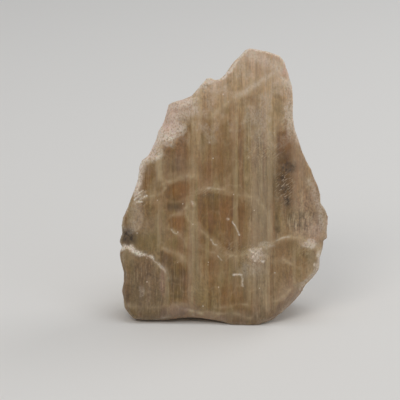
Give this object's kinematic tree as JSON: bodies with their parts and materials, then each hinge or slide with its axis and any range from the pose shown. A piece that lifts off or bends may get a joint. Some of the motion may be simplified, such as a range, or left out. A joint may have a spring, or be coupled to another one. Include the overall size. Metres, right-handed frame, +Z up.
{
  "type": "winchite mineral specimen",
  "caption": "Free-standing cleavage slab of golden-brown fibrous amphibole that rests on its broken foot, for display shelves and mineral cases.",
  "frame": {"origin": "middle of the bounding box, on the surface that the foot rests on", "axes": "+Z up along the crystal's fibres as it stands, -Y towards the viewer of the broad face, +X to that viewer's right"},
  "size_m": [0.0348, 0.0194, 0.0435],
  "materials": {
    "winchite": "silky translucent honey-brown amphibole with upright fibres, pale healed cracks and chalky broken rims"
  },
  "bodies": {
    "root": {"winchite_crystal": "winchite"}
  },
  "joints": []
}
